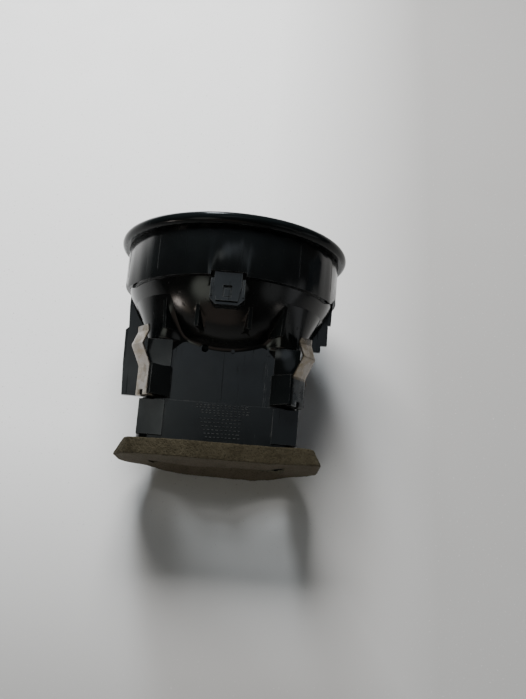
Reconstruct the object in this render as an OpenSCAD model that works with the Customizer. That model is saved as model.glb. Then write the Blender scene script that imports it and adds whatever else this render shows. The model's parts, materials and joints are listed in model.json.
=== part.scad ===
// Round dashboard air vent with a turning louver carrier, spring clips and a foam duct gasket.
// Axis of the vent along Y: the face looks toward -Y, the duct inlet toward +Y.
// Origin: centre of the trim ring's back face, which seats on the dashboard. +Z is up.

/* [Trim ring and collar] */
// Outer diameter of the trim ring
rim_d = 100; // [96:1:108]
// Thickness of the trim ring along the axis
rim_t = 5; // [4:0.5:6]
// Outer diameter of the collar that enters the dashboard
collar_d = 93.2; // [92.4:0.4:93.6]
// Depth of the collar behind the dashboard seat
collar_len = 21; // [19:0.5:23]
// Wall of the collar
collar_wall = 1.9; // [1.8:0.1:2.2]

/* [Housing] */
// Wall of the bell and of the duct
wall = 1.9; // [1.6:0.1:2.2]
// Radius of the spherical bell, outside
bell_r = 46.4; // [46.2:0.1:46.8]
// Distance of the sphere's centre behind the seat
bell_c = 5.5; // [5:0.25:6]
// Half width of the duct
duct_hw = 32; // [31:0.5:33]
// Half height of the duct
duct_hh = 22.5; // [22:0.5:23.5]
// Distance of the duct's open end behind the seat
duct_end = 90; // [86:1:96]

/* [Louver carrier] */
// Distance between two vane pivots
vane_pitch = 13; // [12.5:0.25:13]
// Width of a vane, edge to edge
vane_chord = 14; // [13:0.25:14]
// Thickness of a vane at its middle
vane_t = 1.8; // [1.6:0.1:2]
// Distance of the vane pivots behind the seat
pivot_y = 6; // [5.5:0.25:6.5]
// Length of a vane's crank arm
crank_r = 6.5; // [6.25:0.25:6.5]

/* [Spring clips] */
// Width of the spring steel strip
clip_w = 8; // [7:0.5:9]
// Thickness of the spring steel strip
clip_t = 0.6; // [0.5:0.1:0.8]
// Angle of a clip from the horizontal plane
clip_angle = 40; // [38:1:42]

/* [Gasket] */
// Length of the foam gasket along the duct
gasket_len = 8; // [6:1:10]
// Half width of the gasket, outside
gasket_hw = 41; // [40:0.5:41]
// Half height of the gasket, outside
gasket_hh = 26.5; // [25.5:0.5:26.5]

/* [Hidden] */
$fn = 96;

eps = 0.01;
long = 120;
rim_r = rim_d / 2;
collar_r = collar_d / 2;
collar_in = collar_r - collar_wall;

// Seat: the flat ring outside the collar that lies on the dashboard, and the recess inside it
seat_in = collar_r + 0.15;
seat_out = rim_r - 1.6;
recess = 0.15;

// Housing: the straight neck inside the collar, then the spherical bell
neck_r = collar_in - 0.3;
neck_in = neck_r - wall;
neck_y = 4;
bell_in = bell_r - wall;
duct_y = 30;
duct_step_y = 68.8;
duct_step = 1.1;
duct_lift = 0.6;
duct_corner = 5;

// Carrier: runs in the neck with a flange behind the trim ring
run_gap = 0.3;
drum_r = neck_in - 0.5;
drum_in = drum_r - 2.4;
ring_in = drum_r;
drum_end = 15;
flange_r = collar_in - 0.5;
flange_t = 2;
bezel_r = ring_in - run_gap;
bezel_y = -3.6;

// Vanes: five on one pitch, with a slot for the link bar
vane_zs = [for (i = [-2 : 2]) i * vane_pitch];
half_chord = vane_chord / 2;
spine_r = 1.4;
pin_r = 1.1;
pin_fit = 0.05;
bush_wall = 0.75;
bush_len = 3;
boss_r = 3;
slot_x = 18;
slot_w = 3.6;
link_t = 3;
link_w = 2.4;
crank_back = 17;
crank_y = crank_r * cos(crank_back);
crank_z = -crank_r * sin(crank_back);
crank_pin_r = 0.9;
brow_z = 2 * vane_pitch + half_chord + 0.3;

// Latches above and below: tongue on the collar, tooth on the housing
tongue_hw = 5.6;
tongue_z = collar_in - 0.2;
tongue_t = 1.1;
tongue_end = 31.3;
window_hw = 1.75;
window_y0 = 25;
window_y1 = 29.8;
notch_y = 17;

// Spring clips and the ribs that carry them
clip_base_r = 41.3;
clip_y0 = 55.5;
rib_end = 67.8;
rib_w = clip_w + 2;

// Height of the bell's outer surface over the axis at distance y behind the seat, x off the middle
function bell_z(x, y) = sqrt(bell_r * bell_r - (y - bell_c) * (y - bell_c) - x * x);

// Half length of the vane whose pivot is z off the axis
function vane_half(z) = sqrt(pow(drum_in - 0.6, 2) - pow(abs(z) + half_chord, 2));

// Where the bush of that vane starts
function bush_x(z) = z == 0 ? drum_in + 0.1 : vane_half(z) + 0.8;
function bush_l(z) = z == 0 ? drum_r - drum_in - 0.4 : bush_len;

// Half thickness of a vane at y from its pivot, as a thin lens
function lens(y) = vane_t / 2 * (1 - 0.55 * pow(y / half_chord, 2));

// Turns a piece drawn round the Z axis so that it lies along the Y axis
module axial() { rotate([-90, 0, 0]) children(); }

// Cylinder along X from x0, l long
module along_x(r, x0, l) { translate([x0, 0, 0]) rotate([0, 90, 0]) cylinder(r = r, h = l, $fn = 48); }

// Box from its low corner to its high corner
module box(low, high) { translate(low) cube(high - low); }

// Tube of revolution along Y
module tube(r0, r1, y0, y1) {
    axial() translate([0, 0, y0]) difference() {
        cylinder(r = r1, h = y1 - y0);
        translate([0, 0, -1]) cylinder(r = r0, h = y1 - y0 + 2);
    }
}

// Rectangle with round corners
module rounded_rect(hw, hh, r) {
    square([2 * hw, 2 * (hh - r)], center = true);
    square([2 * (hw - r), 2 * hh], center = true);
    for (sx = [-1, 1]) for (sy = [-1, 1])
        translate([sx * (hw - r), sy * (hh - r)]) circle(r = r, $fn = 48);
}

// Prism with round corners along Y
module rounded_bar(hw, hh, r, y0, y1) {
    axial() translate([0, 0, y0]) linear_extrude(y1 - y0) rounded_rect(hw, hh, r);
}

// Copies a piece to the upper and the lower side
module upper_and_lower() {
    children();
    mirror([0, 0, 1]) children();
}

// ---------------------------------------------------------------- ring and collar

module trim_ring() {
    lip_r = rim_t / 2;
    color([0.05, 0.07, 0.08]) axial() rotate_extrude() difference() {
        union() {
            translate([rim_r - lip_r, -lip_r]) circle(r = lip_r);
            polygon([[ring_in, -rim_t + 1.2], [ring_in + 1.4, -rim_t], [rim_r - lip_r, -rim_t],
                [rim_r - lip_r, -lip_r], [seat_out, -lip_r], [seat_out, 0],
                [seat_in, 0], [seat_in, -recess], [ring_in, -recess]]);
        }
        translate([rim_r - 3.6, -rim_t - 1]) square([1.4, 1.35]);
        translate([ring_in - 1, -rim_t - 1]) polygon([[0, 0], [2.6, 0], [0, 2.6]]);
    }
}

module accent_ring() {
    color([0.75, 0.78, 0.8]) tube(rim_r - 3.5, rim_r - 2.3, -rim_t - 0.1, -rim_t + 0.35);
}

// Flat latch tongue, set back from the collar's surface
module collar_tongue() {
    y = collar_len - 3;
    translate([0, 0, tongue_z]) linear_extrude(tongue_t) polygon([[-tongue_hw, y], [tongue_hw, y],
        [tongue_hw, y + 7], [tongue_hw - 1.2, tongue_end], [1.2 - tongue_hw, tongue_end], [-tongue_hw, y + 7]]);
}

// Shortens the collar at both sides, where the locating plates pass
module side_notch() {
    translate([-rim_r, 0, 0]) rotate([90, 0, 90]) linear_extrude(rim_d) polygon([[notch_y, -11], [notch_y, 11],
        [collar_len + 0.5, 17.8], [collar_len + 0.5, -17.8]]);
}

module collar() {
    lip_y = collar_len - 1.8;
    color([0.07, 0.09, 0.1]) difference() {
        union() {
            difference() {
                axial() rotate_extrude() polygon([[collar_in, -recess], [collar_r, -recess],
                    [collar_r, collar_len], [bell_z(0, collar_len) + 0.2, collar_len], [collar_in, lip_y]]);
                upper_and_lower() box([-7.2, collar_len - 1.6, 30], [7.2, collar_len + 1, 60]);
                side_notch();
            }
            upper_and_lower() collar_tongue();
        }
        upper_and_lower() box([-window_hw, window_y0, 30], [window_hw, window_y1, 60]);
    }
}

module drag_ring() { color([0.25, 0.25, 0.25]) tube(neck_in + 0.2, neck_r - 0.1, flange_t + 2 * run_gap, neck_y); }

// ---------------------------------------------------------------- housing

// Round profile of the bell: straight neck, then sphere
module bell_shape(r, neck, y0) {
    axial() rotate_extrude() intersection() {
        translate([0, bell_c]) circle(r = r);
        translate([0, y0]) square([neck, 60]);
    }
}

// Radial gusset between the bell and its duct end, a degrees from the top, edge r1 off the axis at its end
module bell_fin(a, y0, y1, r1) {
    rotate([0, a, 0]) translate([-0.8, 0, 0]) rotate([90, 0, 90]) linear_extrude(1.6)
        polygon([[y0, bell_z(0, y0) - 0.15], [y1, r1], [y1, 21], [y0 + 3, 21]]);
}

// Raised pads at the duct's corners, over and under the clip rib, falling off outward
module corner_pad(x0, x1, y0, y1, rise) {
    rotate([90, 0, 0]) translate([0, 0, -y1]) linear_extrude(y1 - y0)
        polygon([[x0, 18], [x0, duct_hh + rise], [x1, duct_hh + rise - 0.5], [x1, 18]]);
}

module corner_pads(s) {
    mirror([s > 0 ? 0 : 1, 0, 0]) {
        corner_pad(21.3, duct_hw - 0.3, 44, clip_y0 - 0.3, 2.2);
        corner_pad(22.3, duct_hw + duct_step - 0.4, duct_step_y + 0.6, 83.7, 1.9);
    }
}

// Radial rib that carries a clip
module clip_rib(a) {
    rotate([0, -a, 0]) box([31, clip_y0, -rib_w / 2], [clip_base_r - clip_t / 2, rib_end, rib_w / 2]);
}

// Flat locating plates in the horizontal plane
module left_plate() {
    translate([0, 0, -1]) linear_extrude(2) polygon([[30, 16.4], [44, 16.4], [44.1, 24.5], [43.5, 34.2],
        [44.8, 35.5], [44.4, 50], [43.5, 64.5], [30, 64.5]]);
}

module right_plates() {
    translate([0, 0, -1]) linear_extrude(2) {
        polygon([[-45.4, notch_y + 0.2], [-41, notch_y + 0.2], [-37, 26], [-45.2, 26]]);
        polygon([[-41.6, 24.3], [-44, 26.7], [-44, 35.4], [-30, 35.4], [-30, 30]]);
        polygon([[-30, 35], [-41.2, 35], [-41.2, 38.5], [-30, 38.5]]);
    }
}

// Block under the collar's tongue with guide rails at both sides, and the tooth that snaps into its window
module snap_tooth() {
    top = tongue_z - 0.2;
    linear_extrude(top) polygon([[-7, 21.8], [7, 21.8], [7, 30.2], [4.6, 32.6], [-4.6, 32.6], [-7, 30.2]]);
    for (s = [0, 1]) mirror([s, 0, 0]) box([6, 22.4, 36], [6.8, 29.4, top + 0.7]);
    box([0.4 - window_hw, window_y0 + 1.3, 36], [window_hw - 0.4, window_y1 - 0.3, tongue_z + tongue_t - 0.2]);
}

module housing_body() {
    bell_shape(bell_r, neck_r, neck_y);
    rounded_bar(duct_hw, duct_hh, duct_corner, duct_y, duct_end);
    rounded_bar(duct_hw + duct_step, duct_hh + duct_lift, duct_corner, duct_step_y, duct_end);
    upper_and_lower() {
        for (s = [-1, 1]) corner_pads(s);
        for (a = [clip_angle, 180 - clip_angle]) clip_rib(a);
        snap_tooth();
    }
    bell_fin(39, 27.3, 40.6, 39.6);
    bell_fin(17.6, 31, 40.2, 38.6);
    bell_fin(-14.7, 30.8, 40, 38.6);
    bell_fin(-36.2, 27.3, 40.4, 39.6);
    left_plate();
    right_plates();
    box([-18.7, 43, 21], [-17.9, duct_step_y + 0.2, duct_hh + 0.4]);
    for (x = [-3.7, -18.5])
        translate([x, 46.5, duct_hh - 1]) cylinder(r = 0.8, h = 1.6, $fn = 24);
}

module housing() {
    color([0.08, 0.1, 0.11]) difference() {
        housing_body();
        bell_shape(bell_in, neck_in, neck_y - 1);
        rounded_bar(duct_hw - wall, duct_hh - wall, duct_corner - wall, duct_y, duct_end + 1);
        translate([8, 46.2, 15]) cylinder(r = 1.5, h = 20, $fn = 48);
    }
}

// ---------------------------------------------------------------- clips and gasket

// Normal of the stretch from p to q, and the mitred normal at point i of a line
function side(p, q) = [q[1] - p[1], p[0] - q[0]] / norm(q - p);
function miter(line, i) =
    let (
        n = len(line),
        a = side(line[max(i - 1, 0)], line[max(i, 1)]),
        b = side(line[min(i, n - 2)], line[min(i + 1, n - 1)])
    )
    (a + b) / (1 + a * b);

// Strip of spring steel: flat end, bump, inward bend, straight base, and the hook over the rib's end
module clip_strip() {
    hook_y = rib_end + clip_t / 2 + 0.05;
    line = [[43, 39.6], [43.2, 42.3], [46, 48.2], [clip_base_r, 56], [clip_base_r, hook_y], [38.6, hook_y + 0.1]];
    last = len(line) - 1;
    half = clip_t / 2;
    outer = [for (i = [0 : last]) line[i] + half * miter(line, i)];
    inner = [for (i = [last : -1 : 0]) line[i] - half * miter(line, i)];
    linear_extrude(clip_w, center = true) polygon(concat(outer, inner));
}

module clip(a) {
    color([0.72, 0.7, 0.66]) rotate([0, -a, 0]) difference() {
        clip_strip();
        box([clip_base_r - 1.1, rib_end - 2, -0.9], [clip_base_r + 1, rib_end + 1.5, 0.9]);
    }
}

module clip_upper_left() { clip(clip_angle); }
module clip_upper_right() { clip(180 - clip_angle); }
module clip_lower_left() { clip(-clip_angle); }
module clip_lower_right() { clip(180 + clip_angle); }

module duct_gasket() {
    gap = 0.1;
    color([0.33, 0.3, 0.23]) difference() {
        rounded_bar(gasket_hw, gasket_hh, 6.5, 84, 84 + gasket_len);
        rounded_bar(duct_hw + duct_step + gap, duct_hh + duct_lift + gap, duct_corner + gap, 83, duct_end + 10);
    }
}

// ---------------------------------------------------------------- carrier

module carrier_drum() {
    color([0.06, 0.07, 0.08]) difference() {
        union() {
            tube(drum_in, drum_r, flange_t, drum_end);
            tube(drum_in, flange_r, run_gap, flange_t + run_gap);
            intersection() {
                axial() translate([0, 0, -2]) cylinder(r = drum_r - 1, h = drum_end + 4);
                union() {
                    upper_and_lower() box([-40, pivot_y - 1.5, brow_z], [40, pivot_y + 1.5, 45]);
                    for (z = vane_zs) if (z != 0) translate([0, pivot_y, z]) for (s = [0, 1])
                        mirror([s, 0, 0]) along_x(boss_r, vane_half(z) + 0.6, 30);
                }
            }
        }
        for (z = vane_zs) translate([0, pivot_y, z]) for (s = [0, 1]) mirror([s, 0, 0])
            along_x(pin_r + pin_fit + bush_wall, vane_half(z) + 0.5, bush_x(z) + bush_l(z) - vane_half(z) + 0.5);
    }
}

module carrier_bezel() {
    color([0.05, 0.06, 0.07]) axial() rotate_extrude() polygon([[drum_in, run_gap], [drum_in, bezel_y + 1],
        [drum_in + 0.9, bezel_y], [bezel_r - 0.4, bezel_y], [bezel_r, bezel_y + 0.4], [bezel_r, run_gap]]);
}

module vane_bushes() {
    color([0.55, 0.55, 0.52]) for (z = vane_zs) translate([0, pivot_y, z]) for (s = [0, 1]) mirror([s, 0, 0])
        difference() {
            along_x(pin_r + pin_fit + bush_wall - 0.05, bush_x(z), bush_l(z));
            along_x(pin_r + pin_fit, bush_x(z) - 1, bush_l(z) + 2);
        }
}

// Blade with a round spine, a slot for the link bar and a crank pin beside the slot
module vane(z) {
    half = vane_half(z);
    ys = [for (i = [-6 : 6]) i / 6 * half_chord];
    upper = [for (y = ys) [y, lens(y)]];
    under = [for (i = [12 : -1 : 0]) [ys[i], -lens(ys[i])]];
    color([0.07, 0.08, 0.09]) translate([0, pivot_y, z]) {
        difference() {
            translate([-half, 0, 0]) rotate([90, 0, 90]) linear_extrude(2 * half) polygon(concat(upper, under));
            box([slot_x - slot_w / 2, -20, -5], [slot_x + slot_w / 2, 20, 5]);
        }
        along_x(spine_r, -half, 2 * half);
        along_x(pin_r, -bush_x(z) - bush_l(z) + 0.1, 2 * (bush_x(z) + bush_l(z) - 0.1));
        translate([0, crank_y, crank_z]) {
            along_x(1.7, slot_x - slot_w / 2 - 1.6, 1.6);
            along_x(crank_pin_r, slot_x - slot_w / 2 - 1, slot_w + 0.6);
        }
    }
}

module vane_1() { vane(vane_zs[0]); }
module vane_2() { vane(vane_zs[1]); }
module vane_3() { vane(vane_zs[2]); }
module vane_4() { vane(vane_zs[3]); }
module vane_5() { vane(vane_zs[4]); }

module vane_link() {
    span = 2 * vane_pitch;
    color([0.12, 0.12, 0.13]) translate([0, pivot_y + crank_y, crank_z]) difference() {
        union() {
            box([slot_x - link_t / 2, -link_w / 2, -span], [slot_x + link_t / 2, link_w / 2, span]);
            for (z = vane_zs) translate([0, 0, z]) along_x(2.1, slot_x - link_t / 2, link_t);
        }
        for (z = vane_zs) translate([0, 0, z]) along_x(crank_pin_r + 0.07, slot_x - link_t, 2 * link_t);
    }
}

module thumb_tab() {
    front = pivot_y - half_chord - 6;
    back = pivot_y - half_chord + 1.5;
    color([0.1, 0.1, 0.11]) difference() {
        translate([-8, 0, 0]) rotate([90, 0, 90]) linear_extrude(16)
            polygon([[front + 0.8, -1.8], [back, -1.4], [back, 1.4], [front + 0.8, 1.8], [front, 1], [front, -1]]);
        box([-9, pivot_y - half_chord - 0.1, -0.75], [9, back + 1, 0.75]);
        for (y = [front + 1.6 : 1.4 : back - 2]) for (s = [-1, 1])
            translate([-6.5, y - 0.3, s > 0 ? 1.45 : -2.45]) cube([13, 0.6, 1]);
    }
}

trim_ring();
accent_ring();
collar();
housing();
drag_ring();
duct_gasket();
clip_upper_left();
clip_upper_right();
clip_lower_left();
clip_lower_right();
carrier_drum();
carrier_bezel();
vane_bushes();
vane_1();
vane_2();
vane_3();
vane_4();
vane_5();
vane_link();
thumb_tab();
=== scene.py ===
"""Looks of a round dashboard air vent, built round its CAD frame. In metres; the vent's face looks to -Y."""

import json
import math

import bmesh
import bpy
from mathutils import Matrix, Vector, noise


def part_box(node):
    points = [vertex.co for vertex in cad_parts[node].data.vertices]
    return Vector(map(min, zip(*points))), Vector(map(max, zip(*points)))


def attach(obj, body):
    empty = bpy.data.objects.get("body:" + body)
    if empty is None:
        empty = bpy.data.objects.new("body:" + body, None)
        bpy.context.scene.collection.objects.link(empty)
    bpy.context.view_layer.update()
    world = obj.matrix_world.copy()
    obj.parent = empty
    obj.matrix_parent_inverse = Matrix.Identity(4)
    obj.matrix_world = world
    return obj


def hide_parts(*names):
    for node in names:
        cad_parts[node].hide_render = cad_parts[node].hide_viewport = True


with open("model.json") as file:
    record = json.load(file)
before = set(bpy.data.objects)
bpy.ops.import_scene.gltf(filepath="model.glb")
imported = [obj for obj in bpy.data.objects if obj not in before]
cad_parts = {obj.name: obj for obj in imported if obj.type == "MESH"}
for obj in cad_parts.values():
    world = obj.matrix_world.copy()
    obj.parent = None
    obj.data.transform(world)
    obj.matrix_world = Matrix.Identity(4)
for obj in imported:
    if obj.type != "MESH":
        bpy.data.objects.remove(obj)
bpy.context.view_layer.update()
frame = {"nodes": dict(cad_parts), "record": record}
MM = 0.001


# ---------------------------------------------------------------- camera, table and lights

CAMERA_PLACE = Vector((-0.0149, 0.1352, 0.4072))
CAMERA_RIGHT = Vector((-0.99653, -0.08029, 0.02198))
CAMERA_BACK = Vector((0.00297, 0.22953, 0.97330))
CAMERA_LENS, CAMERA_SENSOR = 48.93, 36  # mm
TABLE_SIZE, TABLE_GAP = 6, 0.4 * MM
TONGUE_INSET = 1.0 * MM  # how far the tongue's end lies inside the collar's box
LIGHT_AIM = Vector((0, 0.04, 0))
FLAG_PLACE, FLAG_SIZE = (-0.36, -0.04, -0.05), (0.14, 0.24, 1)


def make_camera():
    """The camera that the scene is seen with."""
    back = CAMERA_BACK.normalized()
    right = (CAMERA_RIGHT - CAMERA_RIGHT.dot(back) * back).normalized()
    up = back.cross(right)
    turn = Matrix((right, up, back)).transposed().to_4x4()
    camera = bpy.data.objects.new("camera", bpy.data.cameras.new("camera"))
    camera.data.lens = CAMERA_LENS
    camera.data.sensor_width = CAMERA_SENSOR
    camera.data.clip_start = 0.01
    camera.matrix_world = Matrix.Translation(CAMERA_PLACE) @ turn
    bpy.context.scene.collection.objects.link(camera)
    bpy.context.scene.camera = camera


def table_plane():
    """A point on the table and its normal; the vent rests on the collar's lower tongue and on the gasket."""
    collar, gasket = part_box("collar"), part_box("duct_gasket")
    front = Vector((0, collar[1].y, collar[0].z + TONGUE_INSET))
    rear = Vector((0, gasket[1].y, gasket[0].z))
    along = (rear - front).normalized()
    normal = Vector((1, 0, 0)).cross(along)
    return rear, normal


def make_table():
    """A plain table a hair below the vent."""
    point, normal = table_plane()
    bpy.ops.mesh.primitive_plane_add(size=TABLE_SIZE, location=point - normal * TABLE_GAP)
    table = bpy.context.object
    table.name = "table"
    table.rotation_mode = "QUATERNION"
    table.rotation_quaternion = normal.to_track_quat("Z", "Y")
    table.data.materials.append(table_finish())


def direction(azimuth, elevation):
    """Unit vector, azimuth from +X towards +Y, in degrees."""
    a, e = math.radians(azimuth), math.radians(elevation)
    return Vector((math.cos(e) * math.cos(a), math.cos(e) * math.sin(a), math.sin(e)))


def area_light(name, towards, distance, size, power, colour):
    """A rectangle of light in the direction towards, which no camera and no gloss sees."""
    data = bpy.data.lights.new(name, "AREA")
    data.shape = "RECTANGLE"
    data.size, data.size_y = size
    data.energy = power
    data.color = colour
    lamp = bpy.data.objects.new(name, data)
    lamp.location = LIGHT_AIM + towards * distance
    lamp.rotation_mode = "QUATERNION"
    lamp.rotation_quaternion = (-towards).to_track_quat("-Z", "Y")
    lamp.visible_camera = False
    lamp.visible_glossy = False
    bpy.context.scene.collection.objects.link(lamp)


ROOM_TONE = (0.055, 0.052, 0.048)
ROOM_PATCHES = (  # azimuth, elevation, half angle of the full light, half angle of its soft edge, light
    (-90, 25, 20, 60, (0.09, 0.10, 0.11)),
    (-77, 10, 3, 8, (58.0, 62.0, 65.0)),
    (-84, 72, 3, 11, (1.05, 1.17, 1.30)),
    (-40, 76, 2, 7, (1.7, 1.8, 1.75)),
    (-128, 72, 4, 12, (0.50, 0.55, 0.60)),
    (49, 44, 5, 16, (2.00, 2.10, 1.85)),
    (150, 34, 5, 16, (0.60, 0.62, 0.62)),
    (80, 24, 8, 28, (0.60, 0.48, 0.41)),
    (165, 6, 6, 20, (0.85, 0.87, 0.90)),
    (42, 5, 5, 16, (2.60, 2.15, 1.70)),
    (37, 11, 1.5, 6, (17.0, 15.4, 14.3)),
    (143, 15, 1, 4, (3.6, 3.4, 3.2)),
)


MIX_FACTOR, MIX_A, MIX_B = 0, 6, 7  # the inputs of a Mix node that it uses for colours
MIX_COLOUR = 2  # its output for colours


def make_room():
    """A dim room round the table with a few lighter patches for the gloss to pick up."""
    world = bpy.data.worlds.new("room")
    world.use_nodes = True
    tree = world.node_tree
    place = tree.nodes.new("ShaderNodeTexCoord").outputs["Generated"]
    tone = None
    for azimuth, elevation, inner, outer, light in ROOM_PATCHES:
        dot = tree.nodes.new("ShaderNodeVectorMath")
        dot.operation = "DOT_PRODUCT"
        dot.inputs[1].default_value = direction(azimuth, elevation)
        tree.links.new(place, dot.inputs[0])
        mask = tree.nodes.new("ShaderNodeMapRange")
        mask.interpolation_type = "SMOOTHSTEP"
        mask.inputs["From Min"].default_value = math.cos(math.radians(outer))
        mask.inputs["From Max"].default_value = math.cos(math.radians(inner))
        tree.links.new(dot.outputs["Value"], mask.inputs["Value"])
        mix = tree.nodes.new("ShaderNodeMix")
        mix.data_type = "RGBA"
        mix.inputs[MIX_B].default_value = (*light, 1)
        mix.inputs[MIX_A].default_value = (*ROOM_TONE, 1)
        if tone is not None:
            tree.links.new(tone, mix.inputs[MIX_A])
        tree.links.new(mask.outputs["Result"], mix.inputs[MIX_FACTOR])
        tone = mix.outputs[MIX_COLOUR]
    background = tree.nodes["Background"]
    tree.links.new(tone, background.inputs["Color"])
    background.inputs["Strength"].default_value = 1.0
    bpy.context.scene.world = world


def make_flag():
    """A dark studio card out of view on the -X side, which the parts that face it reflect."""
    bpy.ops.mesh.primitive_plane_add(size=1, location=FLAG_PLACE, rotation=(0, math.radians(90), 0))
    flag = bpy.context.object
    flag.name = "flag"
    flag.scale = FLAG_SIZE
    flag.visible_shadow = False
    flag.visible_camera = False
    f = Finish("flag_cloth")
    f.colour(f.mix(f.noise(60, 3), (0.030, 0.036, 0.044), (0.042, 0.050, 0.060)))
    f.roughness(f.ramp(f.noise(400, 3), 0.3, 0.7, 0.8, 0.95))
    flag.data.materials.append(f.material)


def make_lights():
    """A window beyond the vent's face, a faint fill, the dark card and the room."""
    area_light("window", direction(-78, 33), distance=0.60, size=(0.34, 0.26), power=7.0,
               colour=(1.0, 0.995, 0.985))
    area_light("fill", direction(-20, 38), distance=0.60, size=(0.5, 0.5), power=0.05,
               colour=(0.96, 0.98, 1.0))
    make_flag()
    make_room()


# ---------------------------------------------------------------- materials

# The grey that sharp edges are painted, as a painted highlight.
EDGE_HIGHLIGHT_GREY = (0.120, 0.122, 0.118)
DUST_GREY = (0.10, 0.095, 0.085)
FOOT_SHADE_START, FOOT_SHADE_FULL = 0.0568, 0.0574  # where the painted shade on the clips' feet begins, along Y
FOOT_SHADE_SIDE = -0.010  # and where it is full towards -X, the side of the right clips


class Finish:
    """A procedural material round one Principled shader, in the object's own coordinates."""

    def __init__(self, name):
        self.material = bpy.data.materials.new(name)
        self.material.use_nodes = True
        self.tree = self.material.node_tree
        self.shader = self.tree.nodes["Principled BSDF"]
        self.place = self.add("ShaderNodeTexCoord").outputs["Object"]
        self.normal = None

    def add(self, kind, **values):
        """A new node with the properties given."""
        node = self.tree.nodes.new(kind)
        for key, value in values.items():
            setattr(node, key, value)
        return node

    def link(self, source, target):
        self.tree.links.new(source, target)

    def set(self, **values):
        """Sets shader inputs by name, with _ for a space."""
        for key, value in values.items():
            self.shader.inputs[key.replace("_", " ")].default_value = value

    def axes(self, kind):
        """X, Y and Z of a point's place (kind Object) or of its surface's direction (kind Normal)."""
        split = self.add("ShaderNodeSeparateXYZ")
        self.link(self.add("ShaderNodeTexCoord").outputs[kind], split.inputs["Vector"])
        return split.outputs

    def noise(self, per_m, detail=4, rough=0.55, stretch=(1, 1, 1), distortion=0.0):
        """Fractal noise, per_m features a metre, from 0 to 1."""
        mapping = self.add("ShaderNodeMapping")
        mapping.inputs["Scale"].default_value = stretch
        self.link(self.place, mapping.inputs["Vector"])
        node = self.add("ShaderNodeTexNoise")
        node.inputs["Scale"].default_value = per_m
        node.inputs["Detail"].default_value = detail
        node.inputs["Roughness"].default_value = rough
        node.inputs["Distortion"].default_value = distortion
        self.link(mapping.outputs["Vector"], node.inputs["Vector"])
        return node.outputs["Fac"]

    def cells(self, per_m):
        """Distance to the nearest cell centre, per_m cells a metre."""
        node = self.add("ShaderNodeTexVoronoi", feature="F1")
        node.inputs["Scale"].default_value = per_m
        self.link(self.place, node.inputs["Vector"])
        return node.outputs["Distance"]

    def ramp(self, fac, low, high, start=0.0, end=1.0):
        """Maps fac from low..high to start..end, clamped."""
        node = self.add("ShaderNodeMapRange")
        node.inputs["From Min"].default_value = low
        node.inputs["From Max"].default_value = high
        node.inputs["To Min"].default_value = start
        node.inputs["To Max"].default_value = end
        self.link(fac, node.inputs["Value"])
        return node.outputs["Result"]

    def math(self, operation, a, b):
        """One sum on two values, each a socket or a number."""
        node = self.add("ShaderNodeMath", operation=operation)
        for socket, value in zip(node.inputs, (a, b)):
            if isinstance(value, (int, float)):
                socket.default_value = value
            else:
                self.link(value, socket)
        return node.outputs["Value"]

    def mix(self, fac, a, b):
        """Mixes two colours, each a socket or an (r, g, b)."""
        node = self.add("ShaderNodeMix", data_type="RGBA")
        self.link(fac, node.inputs[MIX_FACTOR])
        for socket, value in zip((node.inputs[MIX_A], node.inputs[MIX_B]), (a, b)):
            if isinstance(value, tuple):
                socket.default_value = (*value, 1)
            else:
                self.link(value, socket)
        return node.outputs[MIX_COLOUR]

    def ridge(self, radius):
        """1 where the surface turns sharply within the radius, 0 on open faces."""
        turned = self.add("ShaderNodeBevel", samples=4)
        turned.inputs["Radius"].default_value = radius
        compare = self.add("ShaderNodeVectorMath", operation="DOT_PRODUCT")
        self.link(turned.outputs["Normal"], compare.inputs[0])
        self.link(self.add("ShaderNodeNewGeometry").outputs["Normal"], compare.inputs[1])
        return self.ramp(compare.outputs["Value"], 0.985, 0.80)

    def crevice(self, distance):
        """1 in the open, towards 0 in corners nearer than distance."""
        node = self.add("ShaderNodeAmbientOcclusion", samples=6)
        node.inputs["Distance"].default_value = distance
        return node.outputs["AO"]

    def bump(self, height, distance, strength):
        """Adds a bump of that distance over the bumps made before it."""
        node = self.add("ShaderNodeBump")
        node.inputs["Strength"].default_value = strength
        node.inputs["Distance"].default_value = distance
        self.link(height, node.inputs["Height"])
        if self.normal is not None:
            self.link(self.normal, node.inputs["Normal"])
        self.normal = node.outputs["Normal"]
        self.link(self.normal, self.shader.inputs["Normal"])

    def colour(self, socket):
        self.link(socket, self.shader.inputs["Base Color"])

    def roughness(self, socket):
        self.link(socket, self.shader.inputs["Roughness"])


def table_finish():
    """A pale, slightly cloudy table top, with painted shade darkening it towards -X and beyond the gasket."""
    f = Finish("table_top")
    cloud = f.noise(3.0, 3)
    speck = f.ramp(f.noise(900, 2), 0.66, 0.74)
    place = f.axes("Object")
    # Painted shade: the table's colour darkens towards -X and beyond the gasket, standing in for the light's
    # falloff.
    shade_falloff = f.math("MAXIMUM", f.ramp(place["X"], -0.01, -0.10), f.ramp(place["Y"], -0.02, 0.11))
    clear = f.mix(cloud, (0.74, 0.735, 0.73), (0.80, 0.80, 0.795))
    # The darker tone that the painted shade mixes in.
    painted_shading = f.mix(cloud, (0.37, 0.360, 0.350), (0.41, 0.401, 0.391))
    f.colour(f.mix(speck, f.mix(shade_falloff, clear, painted_shading), (0.52, 0.51, 0.50)))
    f.roughness(f.ramp(f.noise(40, 4), 0.3, 0.7, 0.42, 0.55))
    f.bump(f.noise(1500, 3), 0.00003, 0.4)
    return f.material


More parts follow.
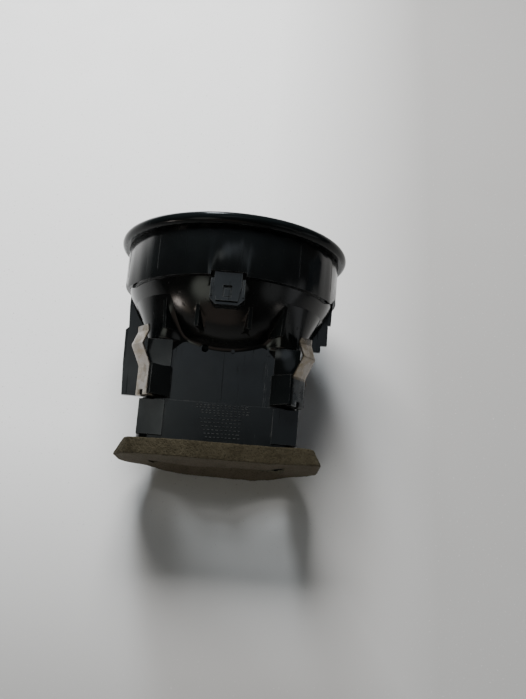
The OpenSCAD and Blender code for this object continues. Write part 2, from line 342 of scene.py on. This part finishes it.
def plastic(name, tone, tint, rough, dust, grain=0.000008, index=1.37, edge_highlight=EDGE_HIGHLIGHT_GREY):
    """Moulded plastic: two tones, mould grain, flow waves, scratches, a painted highlight on sharp edges and
    settled dust.
    """
    f = Finish(name)
    body = f.mix(f.ramp(f.noise(55, 3), 0.35, 0.65), tone, tint)
    corner = f.ramp(f.crevice(2.0 * MM), 0.80, 0.35)
    patch = f.ramp(f.noise(130, 5), 0.50, 0.70)
    speck = f.ramp(f.noise(2400, 2), 0.735, 0.78)
    dusty = f.math("MULTIPLY", f.math("MAXIMUM", f.math("MULTIPLY", corner, patch), speck), dust)
    # Painted highlight: sharp edges are painted a lighter tone, standing in for glints.
    edge_highlight_mask = f.math("MULTIPLY", f.ridge(0.3 * MM), f.ramp(f.noise(240, 4), 0.40, 0.62, 0.0, 0.75))
    body = f.mix(edge_highlight_mask, body, edge_highlight)
    f.colour(f.mix(dusty, body, DUST_GREY))
    scratch = f.ramp(f.noise(700, 2, stretch=(1, 0.06, 1), distortion=0.4), 0.64, 0.72)
    smear = f.ramp(f.noise(70, 5), 0.35, 0.7, rough, rough + 0.10)
    f.roughness(f.math("ADD", smear, f.math("MULTIPLY", f.math("MAXIMUM", scratch, dusty), 0.18)))
    f.bump(f.noise(45, 2), 0.00003, 0.5)
    f.bump(f.noise(3200, 3), grain, 0.6)
    f.set(IOR=index)
    return f


def gloss_black():
    """The ring and the bezel: polished, with a finer grain than the rest."""
    return plastic("gloss_black", (0.0030, 0.0042, 0.0046), (0.0045, 0.0060, 0.0064), rough=0.10, dust=0.20,
                   grain=0.000003, index=1.24).material


def satin_black():
    """The collar and the drum."""
    return plastic("satin_black", (0.0034, 0.0042, 0.0046), (0.0050, 0.0062, 0.0066), rough=0.13,
                   dust=0.30).material


def housing_black():
    """The housing, the dustiest piece."""
    return plastic("housing_black", (0.0034, 0.0042, 0.0046), (0.0052, 0.0064, 0.0066), rough=0.12,
                   dust=0.45).material


def worn_black():
    """The raised marks, paler than the housing, with a pale painted highlight on their edges."""
    return plastic("worn_black", (0.016, 0.018, 0.019), (0.030, 0.032, 0.033), rough=0.34, dust=0.3,
                   edge_highlight=(0.34, 0.34, 0.33)).material


def vane_black():
    """The vanes, with a coarse grain."""
    return plastic("vane_black", (0.0060, 0.0064, 0.0068), (0.0085, 0.0090, 0.0096), rough=0.42, dust=0.3,
                   grain=0.00003).material


def nylon():
    """The link bar."""
    return plastic("nylon", (0.018, 0.018, 0.019), (0.026, 0.026, 0.027), rough=0.45, dust=0.2,
                   grain=0.00003).material


def soft_touch():
    """The thumb tab's dull coat."""
    return plastic("soft_touch", (0.010, 0.010, 0.0105), (0.014, 0.014, 0.0145), rough=0.62, dust=0.3,
                   grain=0.00004).material


def bright_trim():
    """The bright line on the ring."""
    f = plastic("bright_trim", (0.60, 0.66, 0.66), (0.45, 0.52, 0.52), rough=0.16, dust=0.3)
    f.set(Metallic=0.9)
    return f.material


def spring_steel():
    """Rolled strip, stained and spotted, with painted shade darkening the right clips' feet."""
    f = Finish("spring_steel")
    rolled = f.noise(260, 4, stretch=(1, 0.08, 1))
    stain = f.ramp(f.noise(150, 5, 0.6), 0.46, 0.66)
    spot = f.ramp(f.noise(900, 4, 0.7), 0.62, 0.74)
    clean = f.mix(rolled, (0.27, 0.250, 0.232), (0.36, 0.338, 0.312))
    aged = f.mix(f.math("MULTIPLY", stain, 0.7), clean, (0.20, 0.150, 0.075))
    place = f.axes("Object")
    # Painted shade: the feet of the right clips are painted a dark grey.
    foot = f.ramp(place["Y"], FOOT_SHADE_START, FOOT_SHADE_FULL)
    foot_shade = f.math("MULTIPLY", foot, f.ramp(place["X"], FOOT_SHADE_SIDE, 0.0, 0.9, 0.0))
    foot_shade = f.math("MULTIPLY", foot_shade, f.ramp(rolled, 0.2, 0.6, 0.8, 1.0))
    aged = f.mix(f.math("MULTIPLY", spot, 0.5), aged, (0.22, 0.15, 0.08))
    f.colour(f.mix(foot_shade, aged, (0.090, 0.102, 0.112)))
    f.roughness(f.math("ADD", f.ramp(rolled, 0.3, 0.7, 0.17, 0.26), f.math("MULTIPLY", stain, 0.2)))
    f.bump(f.noise(900, 3, stretch=(1, 0.05, 1)), 0.00001, 0.5)
    f.set(Metallic=1.0)
    return f.material


def foam():
    """Weathered brown open-cell foam; painted light makes it paler where it faces the rear, and painted shade
    darkens its pores.
    """
    f = Finish("gasket_foam")
    pores = f.cells(1800)
    coarse = f.cells(900)
    shade = f.noise(90, 5, 0.6)
    lint = f.ramp(f.noise(420, 5, 0.7), 0.45, 0.7)
    body = f.mix(f.ramp(shade, 0.3, 0.7), (0.030, 0.0255, 0.016), (0.052, 0.045, 0.029))
    body = f.mix(f.math("MULTIPLY", lint, 0.45), body, (0.075, 0.066, 0.045))
    # Painted shade: each pore is painted darker towards its bottom.
    pore_shade = f.ramp(f.math("MINIMUM", pores, coarse), 0.05, 0.32, 1.0, 0.0)
    # Painted light: faces turned towards the rear are painted paler, standing in for light falling on them.
    rear_light_mask = f.ramp(f.axes("Normal")["Y"], 0.25, 0.85)
    painted_shading = f.math("MULTIPLY", rear_light_mask, f.ramp(f.noise(160, 4), 0.25, 0.55, 0.55, 1.0))
    # The pale tone of the painted light on the rear faces.
    body = f.mix(painted_shading, body, (0.092, 0.081, 0.060))
    f.colour(f.mix(f.math("MULTIPLY", pore_shade, 0.8), body, (0.008, 0.0065, 0.004)))
    f.roughness(f.ramp(shade, 0.2, 0.8, 0.85, 1.0))
    f.bump(coarse, 0.0003, 0.6)
    f.bump(pores, 0.0002, 0.7)
    f.set(Specular_IOR_Level=0.2)
    return f.material


def felt():
    """Pressed grey felt with fine fibres."""
    f = Finish("felt")
    fibre = f.noise(2500, 6, 0.75, stretch=(1, 3, 1))
    f.colour(f.mix(fibre, (0.05, 0.05, 0.052), (0.17, 0.17, 0.17)))
    f.roughness(f.ramp(fibre, 0.2, 0.8, 0.85, 1.0))
    f.bump(fibre, 0.0002, 0.8)
    return f.material


def silicone():
    """Cloudy pale silicone."""
    f = Finish("silicone")
    f.colour(f.mix(f.noise(300, 3), (0.36, 0.36, 0.34), (0.46, 0.46, 0.44)))
    f.roughness(f.ramp(f.noise(800, 4), 0.3, 0.7, 0.45, 0.6))
    f.bump(f.noise(3000, 2), 0.00001, 0.5)
    return f.material


def make_finishes():
    """Every material by the name of its slot."""
    return {
        "gloss_black": gloss_black(),
        "satin_black": satin_black(),
        "housing_black": housing_black(),
        "worn_black": worn_black(),
        "vane_black": vane_black(),
        "nylon": nylon(),
        "soft_touch": soft_touch(),
        "bright_trim": bright_trim(),
        "spring_steel": spring_steel(),
        "foam": foam(),
        "felt": felt(),
        "silicone": silicone(),
    }


# ---------------------------------------------------------------- building tools

ROUNDING, ROUNDED_ABOVE = 0.25 * MM, 32  # the radius, and the angle in degrees from which an edge gets it
FLAT_BELOW = 0.6  # degrees between faces that count as one
ROUND_FORM = 60  # degrees up to which a round form is shaded smooth


def quad(i, k, rows, columns, first=0):
    """The face between points (i, k) and (i + 1, k + 1) of a grid; a closed grid goes on at its first row."""
    i2, k2 = (i + 1) % rows, (k + 1) % columns
    return tuple(first + a * columns + b for a, b in ((i, k), (i, k2), (i2, k2), (i2, k)))


def new_object(name, verts, faces):
    """A mesh object in the scene."""
    mesh = bpy.data.meshes.new(name)
    mesh.from_pydata(verts, [], faces)
    mesh.validate()
    obj = bpy.data.objects.new(name, mesh)
    bpy.context.scene.collection.objects.link(obj)
    return obj


def tidy(obj):
    """Merges doubles and turns the normals outwards."""
    bm = bmesh.new()
    bm.from_mesh(obj.data)
    bmesh.ops.remove_doubles(bm, verts=bm.verts, dist=1e-7)
    bmesh.ops.recalc_face_normals(bm, faces=bm.faces)
    bm.to_mesh(obj.data)
    bm.free()


def smooth(obj, angle):
    """Smooth shading, except over edges sharper than angle degrees."""
    for polygon in obj.data.polygons:
        polygon.use_smooth = True
    with bpy.context.temp_override(object=obj, active_object=obj, selected_objects=[obj]):
        bpy.ops.object.shade_smooth_by_angle(angle=math.radians(angle))


def soften(obj):
    """Rounds an object's sharp edges a little."""
    weld = obj.modifiers.new("weld", "WELD")
    weld.merge_threshold = 2e-6
    flat = obj.modifiers.new("flat", "DECIMATE")
    flat.decimate_type = "DISSOLVE"
    flat.angle_limit = math.radians(FLAT_BELOW)
    bevel = obj.modifiers.new("bevel", "BEVEL")
    bevel.width = ROUNDING
    bevel.segments = 2
    bevel.limit_method = "ANGLE"
    bevel.angle_limit = math.radians(ROUNDED_ABOVE)
    bevel.miter_outer = "MITER_ARC"
    bevel.harden_normals = True


def paint(obj, finish):
    """Gives an added piece its material."""
    obj.data.materials.clear()
    obj.data.materials.append(finish)


def dress_nodes(finishes):
    """Every CAD node that stays takes the finish of its slot in the record."""
    for row in frame["record"]["subparts"]:
        obj = frame["nodes"][row["node"]]
        obj.data.materials.clear()
        obj.data.materials.append(finishes[row["material_slot"]])


# ---------------------------------------------------------------- foam gasket

NEAR_STEPS, SIDE_STEPS, CORNER_STEPS = 150, 70, 16
FOAM_SECTION = 48
DUCT_SEAT, SEAT_CUT = (33.2, 23.2), 4.2  # half size and corner cut of the foam's inside, mm
FRONT_INSET, REAR_FLARE, TOP_INSET = 1.2, 1.4, 0.1  # from the CAD solid's sides and its top, mm
FRONT_CUTS = {(1, 1): 3.0, (-1, 1): 2.4, (1, -1): 9, (-1, -1): 9}
REAR_CUTS = {(1, 1): 10.5, (-1, 1): 1.6, (1, -1): 13, (-1, -1): 12}
FOAM_START = 1.1  # behind the CAD solid's front, mm
NEAR_ROLL, FAR_ROLL, SIDE_ROLL = 20.5, 9.0, 5.0  # how far the rear edge has rolled in over the mouth, mm
ROLL_BACK = 5.5  # how far the far roll moves forward for each millimetre that the near one moves back
FAR_BULGE, BULGE_LIFT = 2.8, 0.31
FAR_TAPER = 0.10
FRONT_LEAN, REAR_LEAN = 2.6, 1.2  # towards -X, of the front's +X side and the rear's -X side, mm
PORE_SIZE, PORE_DEPTH = 0.7 * MM, 0.3 * MM


def ease(x, low, high):
    """Smooth step of x from low to high."""
    t = min(max((x - low) / (high - low), 0.0), 1.0)
    return t * t * (3 - 2 * t)


def spread(first, last, steps):
    """Numbers in equal steps from first up to, but not including, last."""
    return [first + (last - first) * k / steps for k in range(steps)]


def ring_corner(hw, hh, cut, sx, sz, share):
    """A point on a cut corner between the side and the top or bottom of a ring."""
    start, end = Vector((hw, hh - cut)), Vector((hw - cut, hh))
    p = start.lerp(end, share)
    bulge = 0.10 * cut * math.sin(math.pi * share)
    return (p.x + bulge) * sx, (p.y + bulge) * sz


def ring_path(hw, hh, cuts):
    """Points (x, z) round a ring with cut corners: near, left, far, right. Cuts go by corner sign."""
    rows = []
    for s in (1, -1):
        edge = -s * (hw - cuts[-s, s]), s * (hw - cuts[s, s])
        side = s * (hh - cuts[s, s]), -s * (hh - cuts[s, -s])
        rows += [(x, s * hh) for x in spread(*edge, NEAR_STEPS)]
        rows += [ring_corner(hw, hh, cuts[s, s], s, s, share) for share in spread(1, 0, CORNER_STEPS)]
        rows += [(s * hw, z) for z in spread(*side, SIDE_STEPS)]
        rows += [ring_corner(hw, hh, cuts[s, -s], s, -s, share) for share in spread(0, 1, CORNER_STEPS)]
    return rows


def foam_section():
    """Points round a foam strip's section as (outward share, rearward share), a square with soft corners."""
    def flat(v):
        return math.copysign(abs(v) ** 0.22, v)
    angles = [2 * math.pi * (k + 0.5) / FOAM_SECTION for k in range(FOAM_SECTION)]
    return [(0.5 + 0.5 * flat(math.cos(a)), 0.5 + 0.5 * flat(math.sin(a))) for a in angles]


def rolled_in(x, share, back, near, far):
    """How far a point moves, (x, y, z), as the foam's rear edge rolls in over the duct's mouth."""
    if back <= 0.5 or share >= 0.85:
        return 0, 0, 0
    roll = (back - 0.5) * 2 * (1 - share)
    middle = 1 - (x / 40) ** 2
    sag = NEAR_ROLL - 4 * ease(-x, 0, 12) * ease(x, -26, -16) + 4.0 * noise.noise(Vector((x * 0.08, 3.1, 0)))
    sag *= max(middle, 0.15) * (1.0 + 0.5 * ease(x, 0, 25))
    rise = (FAR_ROLL + 3.0 * noise.noise(Vector((x * 0.1, 7.7, 0)))) * max(middle, 0.1)
    inward = roll * SIDE_ROLL * max(1 - near - far, 0)
    behind = roll * (near - ROLL_BACK * far) * max(middle, 0.2)
    return -math.copysign(inward, x), behind, roll * (far * rise - near * sag)


def gasket_point(inner, outer, share, back, y0, y1):
    """A point of the foam, mm: share goes from the duct outwards and back from the front face to the rear."""
    x, z = inner.lerp(outer, share)
    near, far = ease(z, 14, 22), ease(-z, 14, 22)
    y = y0 + FOAM_START + (y1 - y0 - FOAM_START) * back
    y += (1 - back) * 0.5 * near * (ease(x, 10, 40) - ease(-x, 20, 40))
    y += back * 0.7 * noise.noise(Vector((x * 0.05, z * 0.05, back * 0.6)))
    dx, dy, dz = rolled_in(x, share, back, near, far)
    x, y, z = x + dx, y + dy, z + dz
    bulge = FAR_BULGE * far * back * max(1 - (x / 36) ** 2, 0)
    y += bulge
    z += BULGE_LIFT * bulge
    x *= 1 - FAR_TAPER * ease(-z, 5, 24)
    x -= FRONT_LEAN * (1 - back) * share * ease(x, 30, 40)
    x -= REAR_LEAN * back * share * ease(-x, 30, 40)
    point = Vector((x, y, z))
    rough = noise.noise(point * 0.25) * 0.25 + noise.noise(point * 1.1 + Vector((9, 2, 5))) * 0.07
    away = (point - Vector((x * 0.8, (y0 + y1) / 2, z * 0.9))).normalized()
    return point + away * rough


def add_pores(ring):
    """Finer faces, then small pores pressed into them."""
    divide = ring.modifiers.new("divide", "SUBSURF")
    divide.levels = divide.render_levels = 1
    cloud = bpy.data.textures.new("foam_pores", "CLOUDS")
    cloud.noise_scale = PORE_SIZE
    cloud.noise_depth = 2
    pores = ring.modifiers.new("pores", "DISPLACE")
    pores.texture = cloud
    pores.strength = PORE_DEPTH
    pores.mid_level = 0.55


def make_gasket(finish):
    """The foam strip round the duct's end: cut corners, flared, its rear edge rolled in over the mouth."""
    low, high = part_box("duct_gasket")
    hw, hh = high.x / MM, high.z / MM
    y0, y1 = low.y / MM, high.y / MM
    inner = ring_path(*DUCT_SEAT, {(sx, sz): SEAT_CUT for sx in (-1, 1) for sz in (-1, 1)})
    front = ring_path(hw - FRONT_INSET, hh - TOP_INSET, FRONT_CUTS)
    rear = ring_path(hw + REAR_FLARE, hh - TOP_INSET, REAR_CUTS)
    section = foam_section()
    verts = []
    for inside, before, behind in zip(inner, front, rear):
        for share, back in section:
            outer = Vector(before).lerp(Vector(behind), back)
            verts.append(gasket_point(Vector(inside), outer, share, back, y0, y1) * MM)
    count, n = len(inner), len(section)
    faces = [quad(i, k, count, n) for i in range(count) for k in range(n)]
    ring = new_object("foam_gasket", verts, faces)
    tidy(ring)
    add_pores(ring)
    smooth(ring, ROUND_FORM)
    paint(ring, finish)
    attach(ring, "housing")
    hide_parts("duct_gasket")


# ---------------------------------------------------------------- spring clips

STRIP_COLUMNS = (-4, -3.2, -2.2, -0.9, 0, 0.9, 2.2, 3.2, 4)  # places across the strip, mm
STRIP_THICK, STRIP_STEP, BEND_RADIUS, BEND_STEPS = 0.56, 0.6, 0.35, 5
STRIP_START = 0.15  # behind the front of the CAD clip, mm
FOOT_INSET, FOOT_END = 1.16, 28.45  # inside the middle of the CAD clip; behind the strip's start, mm
SLOT_LENGTH, HOOK_REACH = 2.2, 3.0  # the slot's part on the foot; how deep it goes into the hook, mm
FREE_LENGTH = 9
STRIP_EDGE = 50


def rounded_line(points):
    """The (r, y) points with each inner corner replaced by a bend."""
    points = [Vector(p) for p in points]
    line = [points[0]]
    for a, b, c in zip(points, points[1:], points[2:]):
        reach = min(BEND_RADIUS, (b - a).length * 0.45, (c - b).length * 0.45)
        p, q = b + (a - b).normalized() * reach, b + (c - b).normalized() * reach
        for k in range(BEND_STEPS + 1):
            t = k / BEND_STEPS
            line.append(p.lerp(b, t).lerp(b.lerp(q, t), t))
    line.append(points[-1])
    return line


def filled_line(line):
    """The line with extra points so that none are further apart than one step of the strip."""
    out = [line[0]]
    for a, b in zip(line, line[1:]):
        parts = max(1, math.ceil((b - a).length / STRIP_STEP))
        out += [a.lerp(b, k / parts) for k in range(1, parts + 1)]
    return out


def clip_line(reach, start):
    """The strip seen from its edge, (r, y): curled free end, elbow, straight foot and hook."""
    seat = reach - FOOT_INSET
    free_end, curl, elbow = (reach + 1.15, start), (reach + 0.75, start + 2.4), (reach + 3.35, start + 8.4)
    foot_start, foot_end, hook = (seat, start + 16.3), (seat, start + FOOT_END), (reach - 3.7, start + 28.5)
    return filled_line(rounded_line([free_end, curl, elbow, foot_start, foot_end, hook]))


def strip_point(r, y, w, start, seed):
    """A point of the strip, mm: outwards, across and along. It is dented, and askew at its free end."""
    free = ease(start + FREE_LENGTH - y, 0, FREE_LENGTH)
    dent = 0.12 * noise.noise(Vector((y * 0.2, w * 0.2, seed)))
    trim = 1 - 0.10 * ease(start + 1.0 - y, 0, 1.0)
    return r + dent + 0.10 * free * math.sin(seed), w * trim, y + 0.10 * free * w * math.cos(seed * 2)


def in_slot(point, k, reach, start):
    """Whether the face after column k lies in the slot that runs from the foot into the hook."""
    central = abs(STRIP_COLUMNS[k] + STRIP_COLUMNS[k + 1]) < 1
    return central and point.y > start + FOOT_END - SLOT_LENGTH and point.x > reach - HOOK_REACH


def make_clip(node, seed, finish):
    """One bent spring strip with a slotted hook under the rib."""
    low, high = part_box(node)
    middle = (low + high) / 2
    reach = math.hypot(middle.x, middle.z) / MM
    radial = Vector((middle.x, 0, middle.z)).normalized()
    across = Vector((-radial.z, 0, radial.x))
    start = low.y / MM + STRIP_START
    line = clip_line(reach, start)
    verts = []
    for r, y in line:
        for w in STRIP_COLUMNS:
            out, aside, along = strip_point(r, y, w, start, seed)
            verts.append((radial * out + across * aside) * MM + Vector((0, along * MM, 0)))
    n = len(STRIP_COLUMNS)
    faces = [quad(i, k, len(line), n) for i in range(len(line) - 1) for k in range(n - 1)
             if not in_slot(line[i], k, reach, start)]
    strip = new_object(node + "_strip", verts, faces)
    tidy(strip)
    thick = strip.modifiers.new("thickness", "SOLIDIFY")
    thick.thickness = STRIP_THICK * MM
    thick.offset = 0
    edge = strip.modifiers.new("edge", "BEVEL")
    edge.width = 0.10 * MM
    edge.segments = 2
    edge.limit_method = "ANGLE"
    edge.angle_limit = math.radians(STRIP_EDGE)
    smooth(strip, STRIP_EDGE)
    paint(strip, finish)
    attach(strip, "housing")
    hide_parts(node)


# ---------------------------------------------------------------- small moulded details

COLLAR_LINES = (  # angle from the top towards +X, front end and rear end in mm
    (39.5, 1.0, 17.6),
    (-37.3, 1.0, 17.6),
    (72.0, 0.6, 16.4),
    (-66.5, 0.6, 16.4),
)
LINE_WIDTH, LINE_HEIGHT, LINE_SINK = 0.5, 0.12, 0.05
LINE_STEPS, LINE_SIDES = 40, 6
MARK_ROWS = (  # y, left end and right end of each row in mm; a second row goes with each of the first two
    (69.9, 9.4, -12.6), (72.0, 7.0, -12.6), (73.9, 1.5, -8.6), (75.5, 7.4, -9.6), (77.0, 7.0, -9.0),
    (78.5, 6.4, -10.0), (80.0, 5.6, -9.2), (81.5, 5.2, -9.6), (83.0, 4.6, -9.4),
)
DOUBLE_ROWS, ROW_SLOPE = 2, 0.021
DUCT_BELOW_GASKET, MARK_SINK, MARK_HEIGHT = 3.4, 0.03, 0.26  # mm
MARK_ENDS = ((-1, 0.0), (-0.82, 0.85), (0.82, 0.85), (1, 0.0))  # place along a bar, share of its height
MARK_SIDES = 6


def collar_line(name, angle, y0, y1, finish):
    """A fine moulded line along the collar."""
    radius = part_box("collar")[1].x
    verts = []
    for i in range(LINE_STEPS + 1):
        y = y0 + (y1 - y0) * i / LINE_STEPS
        end = min(i, LINE_STEPS - i, 2) / 2
        for k in range(LINE_SIDES + 1):
            a = math.radians(angle) + (k / LINE_SIDES - 0.5) * LINE_WIDTH * MM / radius
            rise = LINE_HEIGHT * MM * end * math.sin(math.pi * k / LINE_SIDES)
            r = radius - LINE_SINK * MM + rise
            verts.append((r * math.sin(a), y * MM, r * math.cos(a)))
    faces = [quad(i, k, LINE_STEPS + 1, LINE_SIDES + 1) for i in range(LINE_STEPS) for k in range(LINE_SIDES)]
    rib = new_object(name, verts, faces)
    tidy(rib)
    smooth(rib, ROUND_FORM)
    paint(rib, finish)
    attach(rib, "housing")


def make_collar_lines(finish):
    """The fine lines on the collar's near half."""
    for number, (angle, y0, y1) in enumerate(COLLAR_LINES, 1):
        collar_line(f"collar_line_{number}", angle, y0, y1, finish)


def dash(verts, faces, x, y, z, long, wide):
    """Adds a small raised bar with a round back, along X."""
    first = len(verts)
    for end, share in MARK_ENDS:
        for k in range(MARK_SIDES + 1):
            a = math.pi * k / MARK_SIDES
            verts.append(((x + end * long / 2) * MM, (y - math.cos(a) * wide / 2 * max(share, 0.4)) * MM,
                          (z + MARK_HEIGHT * share * math.sin(a)) * MM))
    rows, columns = len(MARK_ENDS), MARK_SIDES + 1
    faces += [quad(row, k, rows, columns, first) for row in range(rows - 1) for k in range(columns - 1)]


def make_marks(finish):
    """Rows of plain raised bars on the duct, in place of the moulded marks."""
    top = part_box("duct_gasket")[1].z / MM - DUCT_BELOW_GASKET - MARK_SINK
    verts, faces = [], []
    for n, (row_y, left, right) in enumerate(MARK_ROWS):
        x, k = left, 0
        while x > right:
            long = 0.80 + 0.9 * abs(noise.noise(Vector((n * 3.7 + 0.3, k * 1.9 + 0.6, 4.4))))
            y = row_y - (left - x) * ROW_SLOPE
            dash(verts, faces, x - long / 2, y, top, long, 0.50)
            if n < DOUBLE_ROWS:
                dash(verts, faces, x - long / 2, y + 1.0, top, long * 0.8, 0.45)
            x -= long + 0.55 + 0.5 * abs(noise.noise(Vector((k * 2.3, n * 1.7, 8.8))))
            k += 1
    marks = new_object("mould_marks", verts, faces)
    smooth(marks, ROUND_FORM)
    paint(marks, finish)
    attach(marks, "housing")


# ---------------------------------------------------------------- blend between the bell and the duct

BELL_R, BELL_C = 46.4, 5.5  # the bell is part of a ball about a point on the axis, mm
DUCT_HW, DUCT_HH, DUCT_CORNER = 32.0, 22.5, 5.0
FILLET_START, FILLET_LENGTH = 27.0, 22.0
FILLET_STEPS, FILLET_ROWS = 360, 60
PIN_HOLE_X, PIN_HOLE_Y, PIN_HOLE_R = 8, 46.2, 1.9  # left open on the near side


def blended(x, y, z):
    """Two distances in mm from the bell and duct: as they meet sharply, and with a rounded foot."""
    bell = math.sqrt(x * x + (y - BELL_C) ** 2 + z * z) - BELL_R
    out = 1 - ease(y, 36, 45)
    lift = (1.7 * (1 - ease(y, 43.6, 44.6)) + 1.2 * out) * ease(abs(x), 17, 24)
    corner = DUCT_CORNER + 5 * out
    qx, qz = abs(x) - DUCT_HW - 1.2 * out + corner, abs(z) - DUCT_HH - lift + corner
    duct = math.hypot(max(qx, 0), max(qz, 0)) + min(max(qx, qz), 0) - corner
    k = 1.3 + 9.0 * ease(abs(x), 15, 25) * ease(abs(z), 4, 14)
    h = max(k - abs(bell - duct), 0) / k
    return min(bell, duct), min(bell, duct) - h * h * k / 4


def reach_of(which, angle, y):
    """Distance from the axis at which the sharp (0) or the rounded (1) surface lies, found by halving."""
    low, high = 15.0, 60.0
    for _ in range(22):
        middle = (low + high) / 2
        if blended(middle * math.sin(angle), y, middle * math.cos(angle))[which] < 0:
            low = middle
        else:
            high = middle
    return low


def clear_of_hole(point):
    """Whether a point of the fillet is clear of the pin hole."""
    x, y, z = point
    return math.hypot(x / MM - PIN_HOLE_X, y / MM - PIN_HOLE_Y) > PIN_HOLE_R or z < 0


def make_fillet(finish):
    """The rounded foot where the bell runs into the duct, deepest at the duct's corners."""
    verts = []
    for i in range(FILLET_STEPS):
        angle = 2 * math.pi * i / FILLET_STEPS
        for j in range(FILLET_ROWS + 1):
            y = FILLET_START + FILLET_LENGTH * j / FILLET_ROWS
            plain, soft = reach_of(0, angle, y), reach_of(1, angle, y)
            r = soft - 0.12 * (1 - ease(soft - plain, 0.02, 0.16)) - 0.02
            verts.append((r * math.sin(angle) * MM, y * MM, r * math.cos(angle) * MM))
    columns = FILLET_ROWS + 1
    faces = [quad(i, j, FILLET_STEPS, columns) for i in range(FILLET_STEPS) for j in range(FILLET_ROWS)
             if clear_of_hole(verts[i * columns + j])]
    fillet = new_object("bell_fillet", verts, faces)
    tidy(fillet)
    smooth(fillet, ROUND_FORM)
    paint(fillet, finish)
    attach(fillet, "housing")


# ---------------------------------------------------------------- the whole vent

finishes = make_finishes()
make_camera()
make_table()
make_lights()
dress_nodes(finishes)
for name in ("collar", "housing", "trim_ring", "carrier_drum", "carrier_bezel", "thumb_tab"):
    soften(frame["nodes"][name])
make_gasket(finishes["foam"])
for seed, name in enumerate(("clip_upper_left", "clip_upper_right", "clip_lower_left", "clip_lower_right")):
    make_clip(name, seed + 1.0, finishes["spring_steel"])
make_collar_lines(finishes["satin_black"])
make_marks(finishes["worn_black"])
make_fillet(finishes["housing_black"])
